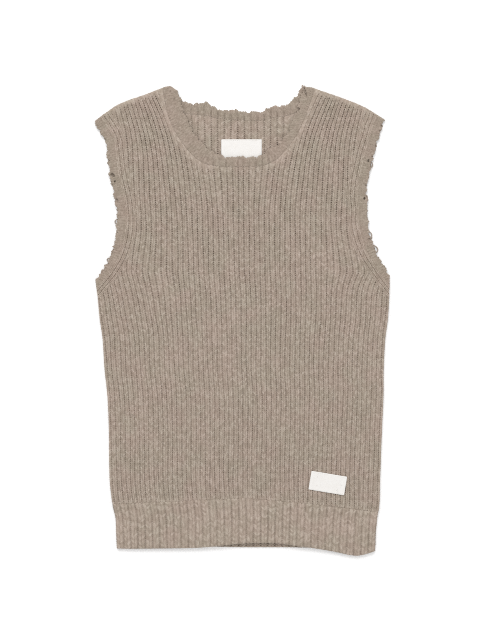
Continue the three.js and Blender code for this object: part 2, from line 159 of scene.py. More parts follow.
def outline(x, y):
    """How far points lie inside the sides and the shoulder line, where front and back meet."""
    across = np.minimum(x - side_x("left", y), side_x("right", y) - x)
    across = np.where(y < underarm + 2, across, far)
    left = beside(shoulder_lines["left"], x, y)
    right = beside(shoulder_lines["right"], x, y)
    return np.minimum(across, -np.where(x < 0, left, right))


# The armhole's band and the three ribs beside it narrow towards the underarm.
arm_band_width = 11.8
narrow = {"from": 52, "to": 115, "least": 0.76}
seam_gap = 0.3
lap = 0.6
back_thick = 2.8
seam_level = back_thick + seam_gap


def armhole_line(side, steps):
    """The armhole's worn edge, the way into the cloth from it, and the share of the border's
    full width that is kept there."""
    line = curve(armholes[side], armholes["y"], steps)
    reach = steps // 22
    ahead = np.pad(np.gradient(line, axis=0), ((reach, reach), (0, 0)), "edge")
    ahead = np.column_stack([np.convolve(part, np.ones(2 * reach + 1), "valid") for part in ahead.T])
    ahead /= np.hypot(*ahead.T)[:, None]
    kept = narrow["least"] + (1 - narrow["least"]) * smooth(line[:, 1], narrow["from"], narrow["to"])
    inward = np.column_stack([ahead[:, 1], -ahead[:, 0]])
    return line, inward if side == "left" else -inward, kept


# Cloth is rounded off towards an open edge, and not towards a seam, whose distance counts more.
firm = 8


def inside_armholes(x, y, inset):
    """How far points lie inside both lines that run beside the armholes, as for a seam."""
    found = far
    for side, sign in (("left", -1), ("right", 1)):
        line, _, kept = armhole_line(side, 90)
        away, share = beside(line, x, y, kept)
        found = np.minimum(found, sign * away - inset * share - seam_gap)
    return found * firm


# The neck band, by points on its worn edge and the points across from them on its seam.
neck_back = table(
    "edge_x edge_y seam_x seam_y",
    (-91, 326, -107, 322), (-88, 311, -104.5, 304), (-80, 297, -93, 286), (-69, 292.5, -75, 279),
    (-47, 294, -50, 276.5), (-31, 285, -31, 272.5), (-7, 283.5, -7, 270.5), (25, 281, 24, 269.5),
    (38, 287.5, 42, 273), (58, 290, 62, 276), (70, 298, 79, 284), (79, 307, 98, 306),
    (81, 328, 102, 324),
)
# The hem bands, from the seam above them to their lower edges.
hem_rows = table(
    "x top front back",
    (-200, -252, -306.9, -305.9), (-170, -251, -311.4, -310.4), (-110, -248.5, -311.4, -309.9),
    (-60, -246, -310.4, -309.4), (-30, -244.5, -307.9, -309.4), (4, -243, -304.4, -309.9),
    (52, -247, -304.4, -309.9), (77, -249.5, -308.4, -310.4), (95, -251, -310.4, -310.9),
    (125, -254.5, -315.4, -313.9), (152, -257.5, -320.9, -317.9), (168, -260, -319.4, -317.4),
    (200, -264, -308.9, -307.9),
)
hem_seam = np.column_stack([hem_rows["x"], hem_rows["top"]])


def cells(x, y):
    """The triangles of a grid, each cell split along its shorter diagonal, facing up."""
    index = np.arange(x.size).reshape(x.shape)
    a, b, c, d = (
        part.ravel() for part in (index[:-1, :-1], index[:-1, 1:], index[1:, 1:], index[1:, :-1])
    )
    x, y = x.ravel(), y.ravel()
    short = np.hypot(x[a] - x[c], y[a] - y[c]) <= np.hypot(x[b] - x[d], y[b] - y[d])
    first = np.column_stack([a, b, np.where(short, c, d)])
    second = np.column_stack([np.where(short, a, b), c, d])
    found = np.vstack([first, second])
    turn = (x[b] - x[a]) * (y[d] - y[a]) - (y[b] - y[a]) * (x[d] - x[a])
    return found if np.median(turn) > 0 else found[:, ::-1]


def rim(triangles, count):
    """The edges that only one triangle has, by their two ends, with the cloth on their left."""
    ends = np.vstack([triangles[:, [0, 1]], triangles[:, [1, 2]], triangles[:, [2, 0]]])
    alone = ~np.isin(ends[:, 0] * count + ends[:, 1], ends[:, 1] * count + ends[:, 0])
    return ends[alone]


# A fold's section where the front turns over to the back: how far out, and at which height.
# The stitches stand out of its first steps as knobs.
fold_section = [(0.2, 3.6), (0.4, 2.6), (0.4, 1.5), (0.1, 0.6), (-0.8, 0.15), (-1.6, 0.6)]
fold_knob = 0.16
knobbed_steps = 4
fold_inset = -1.7
fold_turn = (0.2, 2.5)
fold_reach = 3.2
fold_share = 0.42
tuck = 2.4


def shell(x, y, rise, knit, inside, level, edge=0.55, rounded=1.6, folds=False, block=12):
    """A closed shell over a grid, as its points, triangles and places in the knit.

    rise is how far each point stands over level(x, y), which is the cloth's other face, with one
    point for each block of the grid. knit has each point's rib, course and how far it lies below
    the ribs' crests. The grid is cut where inside(x, y) comes to 0, and rounded off towards that
    cut. Where it folds, its outline goes on over the fold to the surface.
    """
    triangles = cells(x, y)
    columns_wide = x.shape[1]
    x, y, rise = (value.ravel().astype(float) for value in (x, y, rise))
    knit = np.column_stack([value.ravel() for value in knit]).astype(float)
    depth = inside(x, y)
    clear = 0.3
    least_steep = 0.3
    kept = triangles[(depth[triangles] > clear).any(1)]
    while True:
        ends = rim(kept, x.size)
        starts, times = np.unique(ends[:, 0], return_counts=True)
        if times.max() < 2:
            break
        kept = kept[~np.isin(kept, starts[times > 1]).any(1)]

    used = np.unique(kept)
    cut = used[depth[used] <= clear]
    nudge = 0.05
    for _ in range(3):
        here = inside(x[cut], y[cut])
        slope_x = (inside(x[cut] + nudge, y[cut]) - inside(x[cut] - nudge, y[cut])) / (2 * nudge)
        slope_y = (inside(x[cut], y[cut] + nudge) - inside(x[cut], y[cut] - nudge)) / (2 * nudge)
        steep = np.maximum(slope_x**2 + slope_y**2, least_steep)
        x[cut] -= here * slope_x / steep
        y[cut] -= here * slope_y / steep
    depth[cut] = 0

    share = np.clip(depth / rounded, 0, 1)
    share = edge + (1 - edge) * np.sqrt(1 - (1 - share) ** 2)
    if folds:
        turned = np.clip(outline(x, y) / fold_reach, 0, 1)
        share = np.minimum(share, fold_share + (1 - fold_share) * np.sqrt(1 - (1 - turned) ** 2))
    top = level(x, y) + rise * share

    new = np.full(x.size, -1)
    new[used] = np.arange(used.size)
    points = [np.column_stack([x, y, top])[used]]
    places = [knit[used]]
    faces = [new[kept]]
    count = used.size

    ahead = dict(ends.tolist())
    loops = []
    while ahead:
        start, here = ahead.popitem()
        loop = [start]
        while here != start:
            loop.append(here)
            here = ahead.pop(here)
        loops.append(loop)

    under = np.full(x.size, -1)
    for loop in loops:
        loop = np.array(loop)
        along = np.column_stack([x[np.roll(loop, -2)] - x[np.roll(loop, 2)],
                                 y[np.roll(loop, -2)] - y[np.roll(loop, 2)]])
        along /= np.maximum(np.hypot(*along.T), 1e-6)[:, None]
        out = np.column_stack([along[:, 1], -along[:, 0]])
        low = level(x[loop], y[loop])
        turns = np.zeros(loop.size)
        if folds:
            turns = 1 - smooth(outline(x[loop], y[loop]), *fold_turn)
        knobs = fold_knob * np.where(np.round(knit[loop, 1] * 2) % 2, -1, 1)
        section = fold_section if folds else []
        steps = len(section) + 1
        above = new[loop]
        for step in range(1, steps + 1):
            straight = top[loop] + (low - top[loop]) * step / steps
            if step <= len(section):
                away, height = section[step - 1]
                away = away + knobs * (step <= knobbed_steps)
            else:
                away, height = (fold_inset, low) if folds else (0, low)
            ring = np.column_stack([
                x[loop] + out[:, 0] * away * turns,
                y[loop] + out[:, 1] * away * turns,
                straight + (height - straight) * turns,
            ])
            below = count + np.arange(loop.size)
            count += loop.size
            points.append(ring)
            places.append(knit[loop])
            faces.append(np.column_stack([above, below, np.roll(below, -1)]))
            faces.append(np.column_stack([above, np.roll(below, -1), np.roll(above, -1)]))
            above = below
        under[loop] = below

    free = used[under[used] < 0]
    tile = (free // columns_wide // block) * columns_wide + free % columns_wide // block
    order = np.lexsort((-np.minimum(depth[free], 2 * block), tile))
    tiles, first = np.unique(tile[order], return_index=True)
    inner = free[order][first]
    under[free] = count + np.searchsorted(tiles, tile)
    points.append(np.column_stack([x[inner], y[inner], level(x[inner], y[inner])]))
    places.append(knit[inner])
    whole = under[kept[:, ::-1]]
    apart = (whole != np.roll(whole, 1, axis=1)).all(1)
    faces.append(whole[apart])

    return np.vstack(points), np.vstack(faces), np.vstack(places)


def placed(name, data):
    """An object of the scene."""
    made = bpy.data.objects.new(name, data)
    scene.collection.objects.link(made)
    return made


def piece(name, shells, material):
    """One object of closed shells, in metres, with the knit's own coordinates."""
    before = np.cumsum([0] + [len(points) for points, _, _ in shells])
    faces = np.vstack([faces + start for (_, faces, _), start in zip(shells, before)])
    mesh = bpy.data.meshes.new(name)
    mesh.from_pydata(np.vstack([points for points, _, _ in shells]) * MM, [], faces)
    knit = np.vstack([places for _, _, places in shells])
    knit = knit[faces.ravel()].astype(np.float32)
    mesh.uv_layers.new(name="knit").uv.foreach_set("vector", knit[:, :2].ravel())
    # The share below the crests, with which the wool's colour is darkened as painted shade.
    mesh.uv_layers.new(name="sunk").uv.foreach_set("vector", knit[:, [2, 2]].ravel())
    mesh.shade_smooth()
    mesh.set_sharp_from_angle(angle=math.radians(75))
    mesh.materials.append(material)
    return placed(name, mesh)


def linear(colour):
    """An sRGB hex colour as linear red, green, blue and alpha."""
    parts = [int(colour[i:i + 2], 16) / 255 for i in (1, 3, 5)]
    return (*[p / 12.92 if p <= 0.04045 else ((p + 0.055) / 1.055) ** 2.4 for p in parts], 1)


def feed(tree, made, inputs):
    """Links or sets the inputs of a node. A node that is given stands for its first output."""
    for name, value in inputs.items():
        if isinstance(value, bpy.types.Node):
            value = value.outputs[0]
        if isinstance(value, bpy.types.NodeSocket):
            tree.links.new(value, made.inputs[name])
        else:
            made.inputs[name].default_value = value


def node(tree, kind, inputs=None, **settings):
    """Adds a node with its settings, and links or sets its inputs."""
    made = tree.nodes.new(kind)
    for name, value in settings.items():
        setattr(made, name, value)
    feed(tree, made, inputs or {})
    return made


def new_material(name):
    """A material, with the calls that add a node to it and that feed its shader."""
    made = bpy.data.materials.new(name)
    made.use_nodes = True
    tree = made.node_tree
    return made, partial(node, tree), partial(feed, tree, tree.nodes["Principled BSDF"])


def wool(name, dark, middle, light, shade_share, painted_valley_shade):
    """Woollen yarn, spun from fibres of several shades, so that each stitch differs a little.

    shade_share is how much of that is between stitches, and not within one. painted_valley_shade is
    how much darker the colour is painted deep between two ribs: painted shade, on top of the real
    shade of the relief.
    """
    made, add, finish = new_material(name)
    knit = add("ShaderNodeUVMap", uv_map="knit")
    place = add("ShaderNodeTexCoord").outputs["Object"]
    split = add("ShaderNodeSeparateXYZ", {0: knit})

    # One shade for each leg of a stitch.
    leg = add("ShaderNodeMath", {0: split.outputs["X"], 1: 2.0}, operation="MULTIPLY")
    leg = add("ShaderNodeMath", {0: leg}, operation="FLOOR")
    course_here = add("ShaderNodeMath", {0: split.outputs["Y"], 1: 0.5}, operation="ADD")
    course_here = add("ShaderNodeMath", {0: course_here}, operation="FLOOR")
    stitch = add("ShaderNodeCombineXYZ", {0: leg, 1: course_here})
    shade = add("ShaderNodeTexWhiteNoise", {"Vector": stitch})

    # Fibres about 0.4 mm apart, and slubs in the yarn that run on along a wale for 6 mm.
    fibre = add("ShaderNodeTexNoise", {"Vector": place, "Scale": 2400.0, "Detail": 2.0,
                                       "Roughness": 0.6})
    drawn = add("ShaderNodeMapping", {"Vector": knit, "Scale": (9.0, 0.5, 1.0)})
    slub = add("ShaderNodeTexNoise", {"Vector": drawn, "Scale": 1.0, "Detail": 2.0})
    mixed = add("ShaderNodeMix", {0: shade_share, 2: slub.outputs["Fac"], 3: shade.outputs["Value"]})
    mixed = add("ShaderNodeMix", {0: 0.3, 2: mixed, 3: fibre.outputs["Fac"]})
    ramp = add("ShaderNodeValToRGB", {0: mixed})
    stops = ramp.color_ramp.elements
    stops[0].position, stops[0].color = 0.2, linear(dark)
    stops[1].position, stops[1].color = 0.8, linear(light)
    stops.new(0.5).color = linear(middle)

    # The dye drifts between a warmer and a greener taupe over some 30 mm.
    drift = add("ShaderNodeTexNoise", {"Vector": place, "Scale": 34.0, "Detail": 3.0})
    drift = add("ShaderNodeMapRange", {0: drift.outputs["Fac"], 1: 0.36, 2: 0.64})
    tint = add("ShaderNodeMix", {0: drift, 6: linear("#fdf9f8"), 7: linear("#f8faf6")},
               data_type="RGBA")
    tinted = add("ShaderNodeMix", {0: 1.0, 6: ramp, 7: tint.outputs[2]}, data_type="RGBA",
                 blend_type="MULTIPLY")

    # Painted shade: deep between two ribs the colour is darkened towards a dark brown, by an amount
    # that varies at random over some 40 mm.
    sunk_here = add("ShaderNodeSeparateXYZ", {0: add("ShaderNodeUVMap", uv_map="sunk")})
    between = add("ShaderNodeMapRange", {0: sunk_here.outputs["X"], 1: 0.1, 2: 1.1, 3: 0.0, 4: painted_valley_shade})
    felted_and_shade_depth = add("ShaderNodeTexNoise", {"Vector": place, "Scale": 26.0, "Detail": 2.0})
    felted_and_shade_depth = add("ShaderNodeMapRange", {0: felted_and_shade_depth.outputs["Fac"], 1: 0.35, 2: 0.65, 3: 0.55, 4: 1.15})
    between = add("ShaderNodeMath", {0: between, 1: felted_and_shade_depth}, operation="MULTIPLY")
    colour = add("ShaderNodeMix", {0: between, 6: tinted.outputs[2], 7: linear("#4a3c32")},
                 data_type="RGBA")

    # The twist of the yarn's plies, about 1.8 mm apart, and its fibres.
    turned = add("ShaderNodeMapping", {"Vector": place, "Rotation": (0.0, 0.0, 0.6)})
    twist = add("ShaderNodeTexWave", {"Vector": turned, "Scale": 175.0, "Distortion": 6.0,
                                      "Detail": 2.0, "Detail Scale": 2.0})
    bump = add("ShaderNodeBump", {"Strength": 0.45, "Distance": 0.25 * MM,
                                  "Height": twist.outputs["Fac"]})
    bump = add("ShaderNodeBump", {"Strength": 0.5, "Distance": 0.2 * MM,
                                  "Height": fibre.outputs["Fac"], "Normal": bump})
    finish({"Base Color": colour.outputs[2], "Normal": bump, "Roughness": 0.92,
            "Specular IOR Level": 0.25, "Sheen Weight": 0.2, "Sheen Roughness": 0.45,
            "Sheen Tint": linear("#efe6dc")})
    return made


ribbed_wool = wool("marled_wool_rib", "#84776a", "#a39589", "#c2b7ac", 0.3, 0.55)

# A rib is knitted over these places from its crest, 0, to the valleys beside it. The relief is
# the share of the rib's height there, and knob how far a stitch stands over the gap below it.
# The real courses are about 2.8 mm apart, and are drawn a little coarser so that they show.
rib_places = [-0.5, -0.4, -0.3, -0.16, 0, 0.16, 0.3, 0.4]
rib_relief = table("at relief knob", (0, 0.64, 0.28), (0.16, 1, 0.36), (0.3, 0.92, 0.42),
                   (0.4, 0.6, 0.6), (0.5, 0.34, 0.9))
course = 3.0
row_step = course / 2


def rib_columns(first, last):
    """The places across a run of ribs, numbered by their crests."""
    found = [number + place for number in range(first, last + 1) for place in rib_places]
    return np.array(found + [last + 0.5])


def speckle(seed, *parts):
    """A random number from -1 to 1 for each whole-number place in the knit."""
    mixed = sum(np.round(part) * step for part, step in zip(parts, (12.9898, 78.233, 37.719)))
    wave = np.sin(mixed + seed * 4.1414) * 43758.5453
    return 2 * (wave - np.floor(wave)) - 1


def stitched(rib, row, valley, crest, seed, filled=0, drawn=1):
    """How thick ribbed cloth is, stitch by stitch. Row is counted in half courses.

    filled is the share of the ribs' height that is gone, where knitting evens out at a seam.
    drawn is how far the stitches are drawn apart, so that each stands out.
    """
    off = abs(rib - np.round(rib))
    relief = np.interp(off, rib_relief["at"], rib_relief["relief"])
    knob = np.interp(off, rib_relief["at"], rib_relief["knob"])
    knob = knob * drawn * (0.95 + 0.15 * np.sin(1.3 * rib + seed + row / 7))
    lift = np.where(row % 2, -knob, knob)
    leg = np.floor(2 * rib)
    uneven = 0.1 * speckle(seed, leg, row // 2) + 0.05 * speckle(seed + 1, rib * 16, row)
    thick = valley + (crest - valley) * relief + lift + uneven * (0.4 + relief)
    return thick + filled * (crest - 0.3 - thick)


def sunk(thick, valley, crest):
    """How far cloth lies below the crests of its ribs, as a share of their height. The wool paints
    shade with it.
    """
    return np.clip((crest - thick) / (crest - valley), 0, 1.2)


def leant(rib, pitch):
    """How much higher a stitch's leg is out from the crest, because each stitch is a V."""
    return 0.62 * pitch * abs(rib - np.round(rib))


def sway(rib, y):
    """How far a rib wanders to the side by itself."""
    slow = 0.3 * np.sin(0.9 * rib + y / 19) + 0.25 * np.sin(2.3 * rib - y / 31 + 1.7)
    return slow + 0.16 * np.sin(3.7 * rib + y / 9 + 0.6)


back_rib_pitch = 9
back_ribs = 24
back_valley = 1.5


def neck_line(rows, part, steps):
    """The worn edge or the seam of one layer of the neck band."""
    return curve(rows[f"{part}_x"], rows[f"{part}_y"], steps)


back_seam = neck_line(neck_back, "seam", 60)


def inside_back(x, y):
    """How far points lie inside the back panel."""
    within = np.minimum(outline(x, y) - tuck, -firm * beside(back_seam, x, y))
    within = np.minimum(within, inside_armholes(x, y, arm_band_width - lap))
    return np.minimum(within, firm * beside(hem_seam - [0, lap], x, y))


# The back shows only inside the neck. Below that its rows are coarse and its ribs low.
shown_from = 196
shown_height = 130
back_bottom = -276
coarse_step = 12.0
hidden_rise = 1.7
outer_relief = 0.9
coarse_rows = np.arange(back_bottom, shown_from, coarse_step)
fine_rows = shown_from + row_step * np.arange(round(shown_height / row_step))
columns, heights = np.meshgrid(rib_columns(-back_ribs, back_ribs), np.append(coarse_rows, fine_rows))
rows = np.round((heights - shown_from) / row_step)


def back_outside(x, y, rib=None):
    """The back's outer face, whose ribs stand where the inner face has its valleys."""
    rib = x / back_rib_pitch if rib is None else rib
    return outer_relief * (1 - smooth(abs(rib - np.round(rib)), 0.1, 0.5))


x = columns * back_rib_pitch + sway(columns, heights)
y = heights + leant(columns, back_rib_pitch)
# Inside the neck a crease runs down by the wearer's left. Past it the back is felted nearly
# plain, and a little so near the seam.
crease_x = 57.3
crease_deep = 0.9
felted_and_shade_depth = smooth(x, 57, 60)
filled = 0.75 * felted_and_shade_depth + 0.2 * smooth(y, 262, 272) * (1 - felted_and_shade_depth)
thick = stitched(columns, rows, back_valley, back_thick, seed=3, filled=filled)
crease = smooth(y, 240, 244) * (1 - smooth(y, 284, 292)) * np.exp(-(((x - crease_x) / 1.1) ** 2))
thick = thick - crease_deep * crease
# The crease is painted darker too: painted shade in its fold.
knit = (columns, rows / 2, sunk(thick, back_valley, back_thick) + 0.2 * crease)
rise = thick - back_outside(0, 0, columns)
rise = np.where(heights < shown_from, np.minimum(rise, hidden_rise), rise)
back_panel = piece(
    "back_panel_knit",
    [shell(x, y, rise, knit, inside_back, back_outside, edge=0.8, block=2)],
    ribbed_wool,
)
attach(back_panel, "root")
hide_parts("back_panel")

# The back's hem band.
# Coarser rib, knitted on below the panel in one with it. Its lower edge shows under the front's,
# where the front is drawn up in the middle.
hem_ribs = 36
hem_rib_pitch = 9.7
hem_steps = 44
hem_middle = -280.0
hem_drop = 2


def hem_x(rib, y):
    """Where a rib of a hem band runs. Its ribs spread with the width."""
    left, right = side_x("left", y), side_x("right", y)
    return left + (right - left) * (rib + 0.5) / hem_ribs


def inside_hem(edge, from_outline):
    """A test for a hem band, between its seam and its lower edge."""
    lower = curve(hem_rows["x"], hem_rows[edge], 60)

    def inside(x, y):
        between = np.minimum(-firm * beside(hem_seam + [0, lap], x, y), beside(lower, x, y))
        return np.minimum(between, outline(x, y) - from_outline)

    return inside


def hem_grid(edge):
    """Rows that run along the lower edge at first and along the seam at last."""
    columns, rows = np.meshgrid(rib_columns(0, hem_ribs - 1), np.arange(-3, hem_steps + 3))
    x = hem_x(columns, np.full(rows.shape, hem_middle))
    lower = np.interp(x, *curve(hem_rows["x"], hem_rows[edge], 60).T)
    upper = np.interp(x, hem_rows["x"], hem_rows["top"])
    share = rows * (1 / hem_steps)
    y = lower + (upper - lower) * share + leant(columns, hem_rib_pitch) - hem_drop
    return hem_x(columns, y) + 0.6 * sway(columns, y), y, columns, rows


def hem_outside(x, y):
    """The back band's outer face."""
    left, right = side_x("left", y), side_x("right", y)
    return back_outside(x, y, (x - left) / (right - left) * hem_ribs - 0.5)


x, y, columns, rows = hem_grid("back")
thick = stitched(columns, rows, back_valley, back_thick, seed=5)
knit = (columns, rows / 2, sunk(thick, back_valley, back_thick))
rise = thick - back_outside(0, 0, columns)
back_hem = piece(
    "back_hem_knit",
    [shell(x, y, rise, knit, inside_hem("back", tuck), hem_outside, edge=0.7, block=2)],
    ribbed_wool,
)
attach(back_hem, "root")
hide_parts("back_hem_rib")

# The front panel.
# The same wool and rib as the back, 59 ribs across. It is knitted as one panel and lies puffed a
# little over the back, with soft folds. It is made here in two halves that meet beside the middle
# rib, and its outermost rib turns over at the sides and shoulders to meet the back.
ribs_to_side = 29
rib_pitch = 6.8
chest_ribs = {"y": 162, "pitch": 6.98}
shoulder_ribs = {"y": 262, "pitch": 6.62}

# Above a height the ribs fan out on each side of the neck, along a parabola. Beside the armholes
# they lean out from a height on, over so many millimetres, before they end at the border. The
# ribs from the last one on lean out most, and those before the first one not at all.
fan = {"from": 140, "slope": 0.03, "curve": 0.0014, "widest_from": 6}
lean = {
    "left": {"from": -14, "over": 76, "power": 1.3, "first": 12, "last": 20, "out": 8},
    "right": {"from": 26, "over": 36, "power": 2, "first": 14, "last": 23, "out": 11},
}


def leaning(side, number, y):
    """How far out the ribs lean towards an armhole."""
    row = lean[side]
    share = np.clip((y - row["from"]) / row["over"], 0, 1) ** row["power"]
    return row["out"] * share * smooth(number, row["first"], row["last"])


def rib_x(rib, y):
    """Where a rib of the front runs, at a height: they spread with the body up to the underarm,
    lean out towards the armhole's border, and fan out on each side of the neck."""
    body = np.minimum(y, underarm)
    left, right = side_x("left", body), side_x("right", body)
    chest = smooth(y, underarm, chest_ribs["y"])
    closer = smooth(y, chest_ribs["y"], shoulder_ribs["y"])
    upper = chest_ribs["pitch"] + (shoulder_ribs["pitch"] - chest_ribs["pitch"]) * closer
    pitch = (right - left) / (2 * ribs_to_side) * (1 - chest) + upper * chest
    middle = (left + right) / 2 * (1 - chest)
    number = abs(rib)
    above = np.maximum(0, y - fan["from"])
    fanned = (fan["slope"] * above + fan["curve"] * above**2) * smooth(number, 0, fan["widest_from"])
    fanned = fanned * (1 - 0.35 * smooth(number, 8, 22))
    left_lean = leaning("left", number, y) * (1 - 0.5 * smooth(number, 23, 28))
    aside = np.where(rib < 0, left_lean, leaning("right", number, y)) * (1 - smooth(y, 62, 130))
    return middle + rib * pitch + np.sign(rib) * (fanned + aside)


puff = 1.2
rises = table(
    "x y wide long high",
    (0, 214, 95, 55, 0.7), (28, -312, 120, 80, 1.7), (-118, -60, 22, 130, 0.6),
    (120, -30, 26, 150, 0.6), (12, 60, 30, 120, 0.5),
)


def inside_level(x, y):
    """The height of the front's inner face: puffed in the middle, with a mound for each fold."""
    left = np.interp(y, edge_heights, edges["left"])
    right = np.interp(y, edge_heights, edges["right"])
    across = np.clip((2 * x - left - right) / (right - left), -1, 1)
    within = (1 - abs(across) ** 3) * smooth(shoulder_y(x) - y, 0, 60)
    level = seam_level + puff * within
    for at_x, at_y, wide, long, high in zip(*rises.values()):
        reach = np.hypot((x - at_x) / wide, (y - at_y) / long)
        level = level + high * within * (1 - smooth(reach, 0, 1))
    return level


neck_front = table(
    "edge_x edge_y seam_x seam_y",
    (-87, 326, -107, 322), (-85, 308, -104.5, 304), (-80, 289, -99, 278), (-69, 263, -88, 252),
    (-57, 243, -73, 230.5), (-42, 229.5, -54, 213), (-27.5, 221.5, -28, 207), (0, 219.5, 0, 206.5),
    (27.5, 221.5, 26, 207.5), (37, 230, 46, 215), (50, 238.5, 61, 230), (61, 249.5, 75, 249),
    (70, 270, 86, 272), (78, 291.5, 93, 292), (84, 310.5, 98, 306), (86, 328, 102, 324),
)
front_seam = neck_line(neck_front, "seam", 75)
border_ribs = 3
border_pitch = 7
border_width = 15.8
border_lap = 1.6
neck_firm, hem_firm = 5, 2
front_valley, front_crest = 1.25, 3.5
front_bottom = -272
front_height = 600


def inside_front(x, y):
    """How far points lie inside the front panel, without its armholes' borders."""
    within = np.minimum(outline(x, y), -neck_firm * beside(front_seam, x, y))
    within = np.minimum(within, inside_armholes(x, y, arm_band_width + border_width - border_lap))
    return np.minimum(within, hem_firm * beside(hem_seam - [0, lap], x, y))


def border_strip(side):
    """The three ribs that run beside an armhole's band, along its curve."""
    line, inward, kept = armhole_line(side, 400)
    run = np.append(0, np.cumsum(np.hypot(*np.diff(line, axis=0).T)))
    places = rib_columns(0, border_ribs - 1)
    columns, rows = np.meshgrid(places, np.arange(round(run[-1] / row_step)))
    at = rows * row_step + leant(columns, border_pitch)
    inset = arm_band_width + np.interp(columns, [-0.5, border_ribs - 0.5], [-lap, border_width])
    inset = inset * np.interp(at, run, kept) + seam_gap
    x = np.interp(at, run, line[:, 0]) + np.interp(at, run, inward[:, 0]) * inset
    y = np.interp(at, run, line[:, 1]) + np.interp(at, run, inward[:, 1]) * inset
    filled = 0.3 * smooth(-columns, 0.1, 0.4)
    rise = stitched(columns, rows, front_valley, front_crest, seed=11, filled=filled)
    # Three quarters of the painted shade in the border's valleys.
    knit = (columns, rows / 2, 0.75 * sunk(rise, front_valley, front_crest))
    return shell(x, y, rise, knit, outline, inside_level, folds=True)


def front_half(first, last, side):
    """A half of the front with the border of its armhole. The halves meet beside the middle."""
    places = rib_columns(first, last)
    places = np.append([-0.7, -0.6], places) if first == 0 else places[:-2]
    columns, rows = np.meshgrid(places, np.arange(round(front_height / row_step)))
    y = front_bottom + rows * row_step + leant(columns, rib_pitch)
    x = rib_x(columns, y) + sway(columns, y)

    # The ribs even out at the shoulder line, round the neck and above the hem, and the stitches
    # are drawn apart more and more towards the shoulders.
    filled = 0.8 * smooth(y - shoulder_y(x), -8, -3)
    fades = 0.75 - 0.45 * (1 - smooth(abs(x), 25, 55))
    filled = np.maximum(filled, fades * smooth(beside(front_seam, x, y), -10, -2))
    filled = np.maximum(filled, 0.3 * smooth(-beside(hem_seam, x, y), -5, -1))
    drawn = 0.82 + 0.38 * smooth(y, -120, 200)
    rise = stitched(columns, rows, front_valley, front_crest, 7, filled, drawn)
    knit = (columns, rows / 2, sunk(rise, front_valley, front_crest))
    return [shell(x, y, rise, knit, inside_front, inside_level, folds=True), border_strip(side)]


def thread(name, dark, light, sheen):
    """A loose end of yarn, or sewing thread, whose shade changes along it."""
    made, add, finish = new_material(name)
    place = add("ShaderNodeTexCoord").outputs["Object"]
    shade = add("ShaderNodeTexNoise", {"Vector": place, "Scale": 600.0, "Detail": 2.0})
    colour = add("ShaderNodeMix", {0: shade.outputs["Fac"], 6: linear(dark), 7: linear(light)},
                 data_type="RGBA")
    finish({"Base Color": colour.outputs[2], "Roughness": 0.85, "Sheen Weight": sheen})
    return made


def node_group(name, given, result):
    """An empty tree of geometry nodes, the call that adds a node to it, and its named inputs."""
    tree = bpy.data.node_groups.new(name, "GeometryNodeTree")
    for label, kind in given.items():
        tree.interface.new_socket(label, in_out="INPUT", socket_type=f"NodeSocket{kind}")
    tree.interface.new_socket(result, in_out="OUTPUT", socket_type="NodeSocketGeometry")
    add = partial(node, tree)
    return tree, add, add("NodeGroupInput").outputs


def finish_group(add, geometry, material):
    """The end of a tree: its instances become real, and get their material."""
    whole = add("GeometryNodeRealizeInstances", {"Geometry": geometry})
    painted = add("GeometryNodeSetMaterial", {"Geometry": whole, "Material": material})
    add("NodeGroupOutput", {0: painted})


def grown(name, start, tree, sizes):
    """A plain mesh that a tree of geometry nodes grows on another mesh."""
    made = placed(name, start)
    growth = made.modifiers.new("growth", "NODES")
    growth.node_group = tree
    for socket in tree.interface.items_tree:
        if socket.name in sizes:
            growth[socket.identifier] = sizes[socket.name]
    seen = made.evaluated_get(bpy.context.evaluated_depsgraph_get())
    made.data = bpy.data.meshes.new_from_object(seen)
    made.modifiers.clear()
    made.data.name = name
    return made


# Fuzz: loose fibres that stand off the wool, each a thin bent tube.
fuzz_tree, add, given = node_group(
    "wool_fuzz", {"Cloth": "Geometry", "Fibres to the square metre": "Float", "Length": "Float",
                  "Seed": "Int", "Wool": "Material"}, "Fuzz")
facing = add("ShaderNodeSeparateXYZ", {0: add("GeometryNodeInputNormal")})
upper = add("FunctionNodeCompare", {0: facing.outputs["Z"], 1: 0.3})
roots = add("GeometryNodeDistributePointsOnFaces",
            {"Mesh": given["Cloth"], "Selection": upper,
             "Density": given["Fibres to the square metre"], "Seed": given["Seed"]})
bent = add("GeometryNodeCurveQuadraticBezier",
           {"Resolution": 3, "Start": (0, 0, -0.05), "Middle": (0.1, 0.5, 0.35),
            "End": (0.55, 0.75, 0.12)})
round_section = add("GeometryNodeCurvePrimitiveCircle", {"Resolution": 3, "Radius": 0.013})
fibre = add("GeometryNodeCurveToMesh",
            {"Curve": bent, "Profile Curve": round_section, "Fill Caps": True})
turn = add("FunctionNodeRandomValue",
           {0: (-0.25, -0.25, 0.0), 1: (0.25, 0.25, 6.283), "Seed": given["Seed"]},
           data_type="FLOAT_VECTOR")
scale = add("FunctionNodeRandomValue", {2: 0.5, 3: 1.3, "Seed": given["Seed"]})
scale = add("ShaderNodeMath", {0: scale.outputs[1], 1: given["Length"]}, operation="MULTIPLY")
fibres = add("GeometryNodeInstanceOnPoints",
             {"Points": roots, "Instance": fibre, "Rotation": turn, "Scale": scale})
finish_group(add, fibres, given["Wool"])
loose_wool = thread("loose_wool_fibre", "#a99c90", "#d2c8be", 0.3)


def fuzz_on(cloth, name, seed):
    """Fuzz on one piece, as a piece of its own."""
    made = grown(name, cloth.data, fuzz_tree,
                 {"Fibres to the square metre": 20000.0, "Length": 5 * MM, "Seed": seed,
                  "Wool": loose_wool})
    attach(made, "root")
    return made


front_right = piece("front_panel_wearer_right", front_half(-ribs_to_side, -1, "left"), ribbed_wool)
front_left = piece("front_panel_wearer_left", front_half(0, ribs_to_side, "right"), ribbed_wool)
for half, seed in ((front_right, 51), (front_left, 52)):
    fuzz = fuzz_on(half, half.name.replace("panel", "fuzz"), seed)
    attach(half, "root")
    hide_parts("front_panel")

